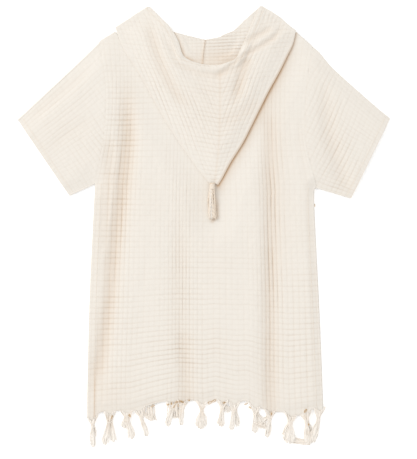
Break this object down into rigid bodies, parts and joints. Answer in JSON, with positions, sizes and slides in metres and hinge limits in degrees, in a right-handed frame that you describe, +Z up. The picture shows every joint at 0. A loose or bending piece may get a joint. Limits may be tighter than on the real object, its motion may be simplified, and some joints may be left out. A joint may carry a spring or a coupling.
{
  "type": "bath poncho",
  "caption": "Child's hooded bath poncho in crinkled cotton gauze, laid flat with its back up, the tasselled hood fallen open and a fringed hem.",
  "frame": {"origin": "middle of the footprint, on the surface it lies on", "axes": "+Y from the hem to the hood, +X across the garment, +Z up from the surface through the back panel"},
  "size_m": [0.5972, 0.704, 0.0118],
  "materials": {
    "gauze": "crinkled cream cotton gauze, matt",
    "yarn": "twisted undyed cotton yarn, matt"
  },
  "bodies": {
    "root": {"front_panel": "gauze", "back_panel": "gauze", "sleeve_left": "gauze", "sleeve_right": "gauze", "hood_left": "gauze", "hood_right": "gauze", "fringe_front": "yarn", "fringe_back": "yarn", "hood_tassel": "yarn"}
  },
  "joints": []
}
